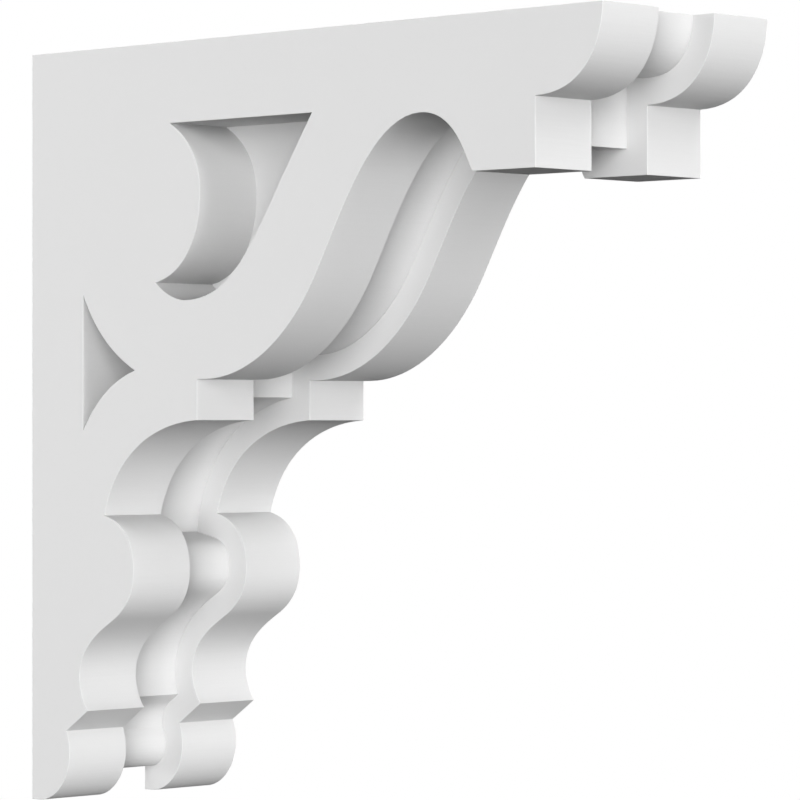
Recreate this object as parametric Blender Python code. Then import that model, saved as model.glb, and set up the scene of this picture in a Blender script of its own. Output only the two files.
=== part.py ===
"""A scrolled corbel built up from three boards, in metres, with +Z up.

The wall face lies in the plane Y = 0 and the bracket reaches out along -Y.
The origin is the middle of the wall face, halfway up the bracket.
Outlines are drawn as (out, up): the distance out from the wall, and the height above the origin.
"""

import bpy
import bmesh
import numpy as np

# Overall size
HEIGHT = 0.4572
REACH = 0.4647
BOARD = 0.0466
GAP = 0.0003
SET_BACK = 0.0153

TOP = HEIGHT / 2
FOOT = -HEIGHT / 2

# Head: a quarter-round scroll over a square block
SCROLL_BOTTOM = TOP - 0.0482
BLOCK_FRONT = 0.4161
BLOCK_BACK = 0.3691
BLOCK_BOTTOM = TOP - 0.0873

# Brace: a round arch behind the block, running down in one long S to a flat soffit
ARCH_OUT = 0.3297
ARCH_TOP = TOP - 0.0528
BRACE_MID = (0.2436, 0.0828)
SOFFIT_BACK = 0.1541
SOFFIT_UP = 0.0282
FILLET_OUT = 0.1478
FILLET_BOTTOM = 0.0040

# Leg: a cove, a round belly, a hollow and a slanted step over the foot
CUSP = (0.0660, -0.0535)
BELLY = (0.0922, -0.0870)
LEG_TURN = (0.0737, -0.1165)
HOLLOW = (0.0435, -0.1519)
STEP_TOP = (0.0511, -0.1721)
STEP_BOTTOM = (0.0317, -0.1852)
TOE = (0.0346, -0.1990)
FOOT_OUT = 0.0066

# Window through each side board: a flat head, a round back and a belly that follows the brace
WINDOW_TOP = 0.1803
WINDOW_BACK = 0.1241
WINDOW_FRONT = 0.2437
WINDOW_ROUND = (0.1501, 0.1382)
WINDOW_HORN = (0.1116, 0.0860)
WINDOW_LOW = (0.1365, 0.0750)

# Small three-cornered opening by the wall
SPANDREL_BACK = 0.0470
SPANDREL_TOP = 0.0801
SPANDREL_BOTTOM = -0.0024
SPANDREL_TIP = (0.0933, 0.0338)

CURVE_STEPS = 20

# Meeting of set-back stretches: ends closer than SMOOTH are one smooth line
SMOOTH = 0.0002
MEETING_TRIES = 8
NUDGE = 0.0001


class Outline:
    """A line drawn in stretches: each is its two ends, with a cubic curve's two handles between them."""

    def __init__(self, start):
        self.end = np.array(start)
        self.stretches = []

    def line(self, end):
        self.stretches.append([self.end, np.array(end)])
        self.end = self.stretches[-1][-1]

    def curve(self, leave, arrive, end):
        """Curve to end; leave and arrive are its handles, as steps from its two ends."""
        self.stretches.append([self.end, self.end + leave, np.add(end, arrive), np.array(end)])
        self.end = self.stretches[-1][-1]

    def points(self):
        traced = [self.stretches[0][0]]
        for stretch in self.stretches:
            traced += trace(stretch)[1:]
        return traced


def place(stretch, t, depth=0):
    """The point at t along a stretch, moved square to it by depth, towards the wood.

    Beyond its end a curve bends on in the same way, and before its start it is straight.
    """
    while len(stretch) > 2:
        stretch = [start + (end - start) * max(t, 0) for start, end in zip(stretch, stretch[1:])]
    start, end = stretch
    out, up = (end - start) / np.hypot(*(end - start))
    return start + (end - start) * t + depth * np.array((up, -out))


def trace(stretch, first=0, last=1, depth=0):
    """Points along a stretch, from t = first to t = last."""
    steps = CURVE_STEPS if len(stretch) > 2 else 1
    return [place(stretch, t, depth) for t in np.linspace(first, last, steps + 1)]


def meeting(before, after, depth):
    """How far along two neighbouring stretches, set back and run on past their ends, they cross."""
    at = np.array((1.0, 0.0))
    if np.hypot(*(place(after, 0, depth) - place(before, 1, depth))) < SMOOTH:
        return at
    for _ in range(MEETING_TRIES):
        here = place(before, at[0], depth)
        there = place(after, at[1], depth)
        pace_before = (place(before, at[0] + NUDGE, depth) - here) / NUDGE
        pace_after = (place(after, at[1] + NUDGE, depth) - there) / NUDGE
        at += np.linalg.solve(np.column_stack((pace_before, -pace_after)), there - here)
    return at


def rounding(centre, start, end):
    """Points on the short arc about centre between start and end, which are left out."""
    radius = np.hypot(*(start - centre))
    spokes = [start + (end - start) * step / CURVE_STEPS - centre for step in range(1, CURVE_STEPS)]
    return [centre + spoke * radius / np.hypot(*spoke) for spoke in spokes]


def front_edge():
    """The side boards' front and underside, from the nose at the top to the foot of the wall face."""
    edge = Outline((REACH, TOP))
    edge.curve((0, -0.0137), (0.0417, 0), (BLOCK_FRONT, SCROLL_BOTTOM))
    edge.line((BLOCK_FRONT, BLOCK_BOTTOM))
    edge.line((BLOCK_BACK, BLOCK_BOTTOM))
    edge.curve((-0.0058, 0.0105), (0.0253, 0), (ARCH_OUT, ARCH_TOP))
    edge.curve((-0.0410, 0), (0.0195, 0.0302), BRACE_MID)
    edge.curve((-0.0207, -0.0320), (0.0361, 0), (SOFFIT_BACK, SOFFIT_UP))
    edge.line((FILLET_OUT, SOFFIT_UP))
    edge.line((FILLET_OUT, FILLET_BOTTOM))
    edge.curve((-0.0354, -0.0016), (0.0105, 0.0393), CUSP)
    edge.curve((0.0188, -0.0042), (0, 0.0169), BELLY)
    edge.curve((0, -0.0164), (0.0075, 0.0045), LEG_TURN)
    edge.curve((-0.0116, -0.0069), (0, 0.0185), HOLLOW)
    edge.curve((0, -0.0060), (-0.0045, 0.0045), STEP_TOP)
    edge.line(STEP_BOTTOM)
    edge.curve((0.0021, -0.0048), (0, 0.0045), TOE)
    edge.curve((0, -0.0153), (0.0155, 0), (FOOT_OUT, FOOT))
    edge.line((0, FOOT))
    return edge


def side_outline():
    """The whole side board: the front edge, closed along the wall face and the top."""
    return front_edge().points() + [(0, TOP)]


def middle_outline():
    """The middle board: the same front edge set back, level with the others at the top and the wall.

    Where stretches meet at a corner they are cut short or run on until they cross, but the notch
    under the slanted step is a round hollow, which turns down to the toe.
    """
    stretches = front_edge().stretches
    toe = [tuple(stretch[0]) for stretch in stretches].index(STEP_BOTTOM)
    plumb = [stretches[toe][0], stretches[toe][0] + (0, -SMOOTH)]
    stretches.insert(toe, plumb)
    points = [place(stretches[0], 0, SET_BACK)]
    first = 0
    for before, after in zip(stretches, stretches[1:]):
        if after is plumb:
            points += trace(before, first, 1, SET_BACK)[1:]
            first = 0
            hollow_end = place(plumb, first, SET_BACK)
            points += rounding(plumb[0], points[-1], hollow_end) + [hollow_end]
        else:
            last, following = meeting(before, after, SET_BACK)
            points += trace(before, first, last, SET_BACK)[1:]
            first = following
    return points + trace(stretches[-1], first, 1, SET_BACK)[1:] + [(0, TOP)]


def window_outline():
    """The large opening, with a flat head and a horn pointing back at its foot."""
    edge = Outline((WINDOW_BACK, WINDOW_TOP))
    edge.line((WINDOW_FRONT, WINDOW_TOP))
    edge.curve((-0.0496, -0.0703), (0.0460, 0), WINDOW_LOW)
    edge.curve((-0.0018, 0), (0.0102, -0.0098), WINDOW_HORN)
    edge.curve((0.0209, 0.0036), (0, -0.0309), WINDOW_ROUND)
    edge.curve((0, 0.0207), (0.0150, -0.0083), (WINDOW_BACK, WINDOW_TOP))
    return edge.points()[:-1]


def spandrel_outline():
    """The small opening: straight along the wall, with two hollow sides meeting in a point."""
    edge = Outline((SPANDREL_BACK, SPANDREL_TOP))
    edge.curve((0.0104, -0.0210), (-0.0218, 0.0110), SPANDREL_TIP)
    edge.curve((-0.0200, -0.0058), (0.0109, 0.0183), (SPANDREL_BACK, SPANDREL_BOTTOM))
    return edge.points()


def painted_white(name, colour):
    """Smooth, matte white board, painted in the factory."""
    material = bpy.data.materials.new(name)
    material.use_nodes = True
    shader = material.node_tree.nodes["Principled BSDF"]
    shader.inputs["Base Color"].default_value = (*colour, 1)
    shader.inputs["Roughness"].default_value = 0.55
    shader.inputs["Metallic"].default_value = 0
    return material


def board(name, outlines, left, material):
    """A flat board cut to its outlines, the first being its rim, with its left face at x = left."""
    flat = bmesh.new()
    for outline in outlines:
        corners = [flat.verts.new((left, -out, up)) for out, up in outline]
        for corner, following in zip(corners, corners[1:] + corners[:1]):
            flat.edges.new((corner, following))
    bmesh.ops.triangle_fill(flat, use_beauty=True, edges=flat.edges)
    face = bmesh.ops.extrude_face_region(flat, geom=flat.faces[:])
    moved = [item for item in face["geom"] if isinstance(item, bmesh.types.BMVert)]
    bmesh.ops.translate(flat, vec=(BOARD, 0, 0), verts=moved)
    bmesh.ops.recalc_face_normals(flat, faces=flat.faces)
    mesh = bpy.data.meshes.new(name)
    flat.to_mesh(mesh)
    flat.free()
    mesh.materials.append(material)
    solid = bpy.data.objects.new(name, mesh)
    bpy.context.scene.collection.objects.link(solid)
    return solid


for leftover in list(bpy.data.objects):
    bpy.data.objects.remove(leftover, do_unlink=True)

pierced = [side_outline(), window_outline(), spandrel_outline()]
pitch = BOARD + GAP
middle_left = -BOARD / 2
side_white = (0.80, 0.80, 0.79)
middle_white = (0.78, 0.78, 0.77)
board("left_side_board", pierced, middle_left - pitch, painted_white("left board white", side_white))
board("middle_board", [middle_outline()], middle_left, painted_white("middle board white", middle_white))
board("right_side_board", pierced, middle_left + pitch, painted_white("right board white", side_white))
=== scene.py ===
import math

import bmesh
import bpy
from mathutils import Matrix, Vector
from mathutils.bvhtree import BVHTree


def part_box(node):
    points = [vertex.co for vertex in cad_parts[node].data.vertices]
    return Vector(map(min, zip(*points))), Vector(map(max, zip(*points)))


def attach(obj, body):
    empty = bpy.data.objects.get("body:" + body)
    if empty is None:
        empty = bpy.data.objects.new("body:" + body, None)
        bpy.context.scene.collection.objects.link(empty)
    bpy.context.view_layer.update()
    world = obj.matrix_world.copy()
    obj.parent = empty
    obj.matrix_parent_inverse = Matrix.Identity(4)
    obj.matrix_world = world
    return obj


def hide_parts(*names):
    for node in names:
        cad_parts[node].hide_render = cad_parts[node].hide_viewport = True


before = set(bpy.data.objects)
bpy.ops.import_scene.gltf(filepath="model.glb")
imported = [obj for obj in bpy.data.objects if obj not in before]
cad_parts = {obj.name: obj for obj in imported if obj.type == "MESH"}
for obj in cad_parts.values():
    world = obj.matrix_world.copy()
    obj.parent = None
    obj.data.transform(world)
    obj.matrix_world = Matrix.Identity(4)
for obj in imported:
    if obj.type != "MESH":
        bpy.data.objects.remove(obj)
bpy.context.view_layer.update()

# Left side board
# One of two outer boards of rigid white cellular plastic, sawn and routed through with the
# large window and the small spandrel opening. Its faces are the smooth skin of the sheet, its
# cut edge is sanded, and the whole is primed white. It is glued flat to the middle board.
ARRIS = 0.0003
ARRIS_STEPS = 3
CORNER_ANGLE = math.radians(20)
SMOOTH_ANGLE = math.radians(35)
FLAT_ANGLE = math.radians(0.1)
MERGE = 0.00001
TOUCHING = 0.0004
LEVEL = 0.00005
PRIMER = (0.745, 0.745, 0.745)

# How far a face must look sideways to show the sheet's skin, how the marks on its cut edges
# stretch across the thickness, and how many features each kind of unevenness has to the metre
SKIN_BEGINS = 0.80
SKIN_ALONE = 0.98
ACROSS_THICKNESS = (0.04, 1, 1)
CLOUDS = 14
ORANGE_PEEL = 380
PORES = 1800
CUTTER_MARKS = 560
BUMP_DEPTH = 0.0001


def select_only(piece):
    """One object alone is active and selected, so that the operators act on it."""
    for other in bpy.context.selected_objects:
        other.select_set(False)
    piece.select_set(True)
    bpy.context.view_layer.objects.active = piece


def finish_with(piece, kind, **settings):
    """One modifier, set up and applied."""
    modifier = piece.modifiers.new(kind.lower(), kind)
    for setting, value in settings.items():
        setattr(modifier, setting, value)
    bpy.ops.object.modifier_apply(modifier=modifier.name)


def is_eased(arris, neighbours, high):
    """An arris is eased where it is bare or runs along a flush glue line, at the wall or the top,
    and left square where the next board stands against it. high is the board's highest corner."""
    start, end = (corner.co for corner in arris.verts)
    middle = (start + end) / 2
    along_thickness = abs(start.x - end.x) > MERGE
    at_wall = high.y - middle.y < LEVEL
    at_top = high.z - middle.z < LEVEL
    bare = all(near.find_nearest(middle, TOUCHING)[0] is None for near in neighbours)
    return along_thickness or at_wall or at_top or bare


def eased_board(node, name, beside, widen=0):
    """The board as sawn, its flat faces made whole again and its bare arrises eased with fine paper.

    beside names the boards that are glued to it, and widen is how far each face swells to meet them.
    """
    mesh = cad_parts[node].data.copy()
    mesh.name = name
    mesh.materials.clear()
    piece = bpy.data.objects.new(name, mesh)
    bpy.context.scene.collection.objects.link(piece)
    select_only(piece)
    low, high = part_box(node)
    swell = 1 + 2 * widen / (high[0] - low[0])
    bpy.ops.object.mode_set(mode="EDIT")
    bpy.ops.mesh.select_all(action="SELECT")
    bpy.ops.mesh.remove_doubles(threshold=MERGE)
    bpy.ops.mesh.dissolve_limited(angle_limit=FLAT_ANGLE)
    bpy.ops.transform.resize(value=(swell, 1, 1), center_override=(0, 0, 0))
    bpy.ops.object.mode_set(mode="OBJECT")
    neighbours = []
    for other in beside:
        shape = bmesh.new()
        shape.from_mesh(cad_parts[other].data)
        neighbours.append(BVHTree.FromBMesh(shape))
        shape.free()
    shape = bmesh.new()
    shape.from_mesh(mesh)
    amount = shape.edges.layers.float.new("bevel_weight_edge")
    for edge in shape.edges:
        if edge.calc_face_angle(0) > CORNER_ANGLE and is_eased(edge, neighbours, Vector(high)):
            edge[amount] = 1
    shape.to_mesh(mesh)
    shape.free()
    finish_with(piece, "BEVEL", width=ARRIS, segments=ARRIS_STEPS, limit_method="WEIGHT")
    bpy.ops.object.shade_smooth_by_angle(angle=SMOOTH_ANGLE)
    finish_with(piece, "WEIGHTED_NORMAL", weight=100, keep_sharp=True)
    return piece


class Socket:
    """A value in a shader, so that finishes are written as plain sums."""

    def __init__(self, shader, output):
        self.shader = shader
        self.output = output

    def maths(self, operation, first, second):
        return self.shader.node("ShaderNodeMath", {"operation": operation}, {0: first, 1: second})

    def __add__(self, other):
        return self.maths("ADD", self, other)

    def __radd__(self, other):
        return self.maths("ADD", other, self)

    def __sub__(self, other):
        return self.maths("SUBTRACT", self, other)

    def __rsub__(self, other):
        return self.maths("SUBTRACT", other, self)

    def __mul__(self, other):
        return self.maths("MULTIPLY", self, other)

    def __rmul__(self, other):
        return self.maths("MULTIPLY", other, self)

    def __abs__(self):
        return self.maths("ABSOLUTE", self, 0)


class Finish:
    """A material's nodes, added one by one from its own surface shader back."""

    def __init__(self, name):
        self.material = bpy.data.materials.new(name)
        self.material.use_nodes = True
        self.tree = self.material.node_tree
        self.surface = self.tree.nodes["Principled BSDF"]

    def node(self, kind, settings, values, output=0):
        """A node of that kind, with its settings, then the values or links of its sockets."""
        made = self.tree.nodes.new(kind)
        for setting, value in settings.items():
            setattr(made, setting, value)
        for socket, value in values.items():
            self.put(made.inputs[socket], value)
        return Socket(self, made.outputs[output])

    def put(self, socket, value):
        if isinstance(value, Socket):
            self.tree.links.new(value.output, socket)
        else:
            socket.default_value = value


def primed_white(name, colour, shift):
    """Factory primer over cellular plastic: a faint orange peel on the sheet's skin, and on its
    cut edges fine pores and the marks that the cutter leaves across the thickness."""
    finish = Finish(name)
    board_place = finish.node("ShaderNodeTexCoord", {}, {}, "Object")
    place = finish.node("ShaderNodeMapping", {}, {"Vector": board_place, "Location": shift})
    across = finish.node("ShaderNodeMapping", {}, {"Vector": place, "Scale": ACROSS_THICKNESS})
    normal = finish.node("ShaderNodeTexCoord", {}, {}, "Normal")
    sideways = finish.node("ShaderNodeSeparateXYZ", {}, {0: normal}, "X")
    skin = finish.node("ShaderNodeMapRange", {},
                       {"Value": abs(sideways), "From Min": SKIN_BEGINS, "From Max": SKIN_ALONE})
    cut = 1 - skin

    def grain(where, to_the_metre, detail):
        """Noise that swings either side of 0."""
        cells = finish.node("ShaderNodeTexNoise", {},
                            {"Vector": where, "Scale": to_the_metre, "Detail": detail})
        return cells - 0.5

    cloud = grain(place, CLOUDS, 3)
    peel = grain(place, ORANGE_PEEL, 2)
    pores = grain(place, PORES, 2)
    chatter = grain(across, CUTTER_MARKS, 2)
    tone = 1 + 0.022 * cloud + cut * (0.050 * pores + 0.020 * chatter)
    shade = finish.node("ShaderNodeMix", {"data_type": "RGBA", "blend_type": "MULTIPLY"},
                        {"Factor": 1, "A": (*colour, 1), "B": tone}, "Result")
    finish.put(finish.surface.inputs["Base Color"], shade)
    finish.put(finish.surface.inputs["Roughness"], 0.46 + 0.12 * cut + 0.14 * cloud + cut * 0.12 * chatter)
    height = skin * 0.5 * peel + cut * (0.4 * pores + chatter)
    bump = finish.node("ShaderNodeBump", {}, {"Strength": 0.5, "Distance": BUMP_DEPTH, "Height": height})
    finish.put(finish.surface.inputs["Normal"], bump)
    finish.surface.inputs["Specular IOR Level"].default_value = 0.30
    return finish.material


left_board = eased_board("left_side_board", "left_board", ["middle_board"])
left_board.data.materials.append(primed_white("left board primer", PRIMER, (0.0, 0.0, 0.0)))
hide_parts("left_side_board")
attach(left_board, "root")

# Middle board
# The core of the same sheet, cut to the same outline but set back behind its neighbours at the
# front, and left solid, so that it closes the openings halfway. It is glued between them.
GLUE_LINE = 0.00031

middle_board = eased_board("middle_board", "core_board", ["left_side_board", "right_side_board"], GLUE_LINE)
middle_board.data.materials.append(primed_white("core board primer", PRIMER, (0.7, 0.3, 0.1)))
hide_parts("middle_board")
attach(middle_board, "root")

# Right side board
# The twin of the left board, from the same sheet and router pattern, glued to the middle
# board's other face with the two outlines square to each other.
right_board = eased_board("right_side_board", "right_board", ["middle_board"])
right_board.data.materials.append(primed_white("right board primer", PRIMER, (0.2, 0.9, 0.5)))
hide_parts("right_side_board")
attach(right_board, "root")

# Studio
# A pale floor well below the hanging bracket, white all round, and large soft lights mostly
# from the front and the left.
CAMERA_PLACE = (-1.72136, -1.90483, 0.00085)
CAMERA_TURN = 0.8001
FOCAL_PIXELS = 4085.4
FRAME_PIXELS = 800
SENSOR = 36
CENTRE_RIGHT = 384.0
CENTRE_DOWN = 425.57
CAMERA_SEES = 100
FLOOR_DOWN = 3.0
FLOOR_WIDTH = 60

camera = bpy.data.cameras.new("camera")
camera.sensor_width = SENSOR
camera.sensor_fit = "HORIZONTAL"
camera.lens = FOCAL_PIXELS / FRAME_PIXELS * SENSOR
camera.shift_x = (FRAME_PIXELS / 2 - CENTRE_RIGHT) / FRAME_PIXELS
camera.shift_y = (CENTRE_DOWN - FRAME_PIXELS / 2) / FRAME_PIXELS
camera.clip_end = CAMERA_SEES
viewer = bpy.data.objects.new("camera", camera)
bpy.context.scene.collection.objects.link(viewer)
viewer.location = CAMERA_PLACE
viewer.rotation_euler = (math.pi / 2, 0, -CAMERA_TURN)
bpy.context.scene.camera = viewer
bpy.context.scene.view_settings.view_transform = "Standard"

bpy.ops.mesh.primitive_plane_add(size=FLOOR_WIDTH, location=(0, 0, -FLOOR_DOWN))
floor = bpy.context.object
floor.name = "floor"
paint = bpy.data.materials.new("floor white")
paint.use_nodes = True
paint_surface = paint.node_tree.nodes["Principled BSDF"]
paint_surface.inputs["Base Color"].default_value = (0, 0, 0, 1)
paint_surface.inputs["Specular IOR Level"].default_value = 0
paint_surface.inputs["Emission Color"].default_value = (1, 1, 1, 1)
paint_surface.inputs["Emission Strength"].default_value = 1
floor.data.materials.append(paint)
floor.visible_diffuse = False
floor.visible_glossy = False
floor.visible_shadow = False

world = bpy.data.worlds.new("studio")
bpy.context.scene.world = world
world.use_nodes = True
air = world.node_tree
seen = air.nodes.new("ShaderNodeLightPath")
backdrop = air.nodes["Background"]
backdrop.inputs["Color"].default_value = (1, 1, 1, 1)
air.links.new(seen.outputs["Is Camera Ray"], backdrop.inputs["Strength"])

# Each light: degrees round from the front (left is negative), degrees up, strength, degrees wide,
# and how many times its light may bounce. Most of it may not, so that the recesses stay dark.
FREELY = 1024
LIGHTS = {
    "left": (-60, 0, 0.85, 25, 1),
    "low left": (-58, -12, 0.67, 25, FREELY),
    "front left": (-45, 12, 1.34, 30, 0),
    "low front left": (-30, -10, 0.42, 30, 0),
    "above the front": (6, 45, 1.06, 30, 0),
    "below the front": (0, -12, 0.88, 25, FREELY),
    "right": (100, 12, 2.8, 30, FREELY),
    "above": (180, 76, 1.65, 24, 0),
    "behind": (180, 8, 0.35, 30, 0),
    "rear left": (-158, 8, 1.16, 35, 0),
}
for name, (around, up, power, wide, bounces) in LIGHTS.items():
    lamp = bpy.data.lights.new(name, "SUN")
    lamp.energy = power
    lamp.angle = math.radians(wide)
    lamp.cycles.max_bounces = bounces
    holder = bpy.data.objects.new(name, lamp)
    bpy.context.scene.collection.objects.link(holder)
    around, up = math.radians(around), math.radians(up)
    towards = Vector((math.sin(around) * math.cos(up), -math.cos(around) * math.cos(up), math.sin(up)))
    holder.rotation_euler = towards.to_track_quat("Z", "Y").to_euler()
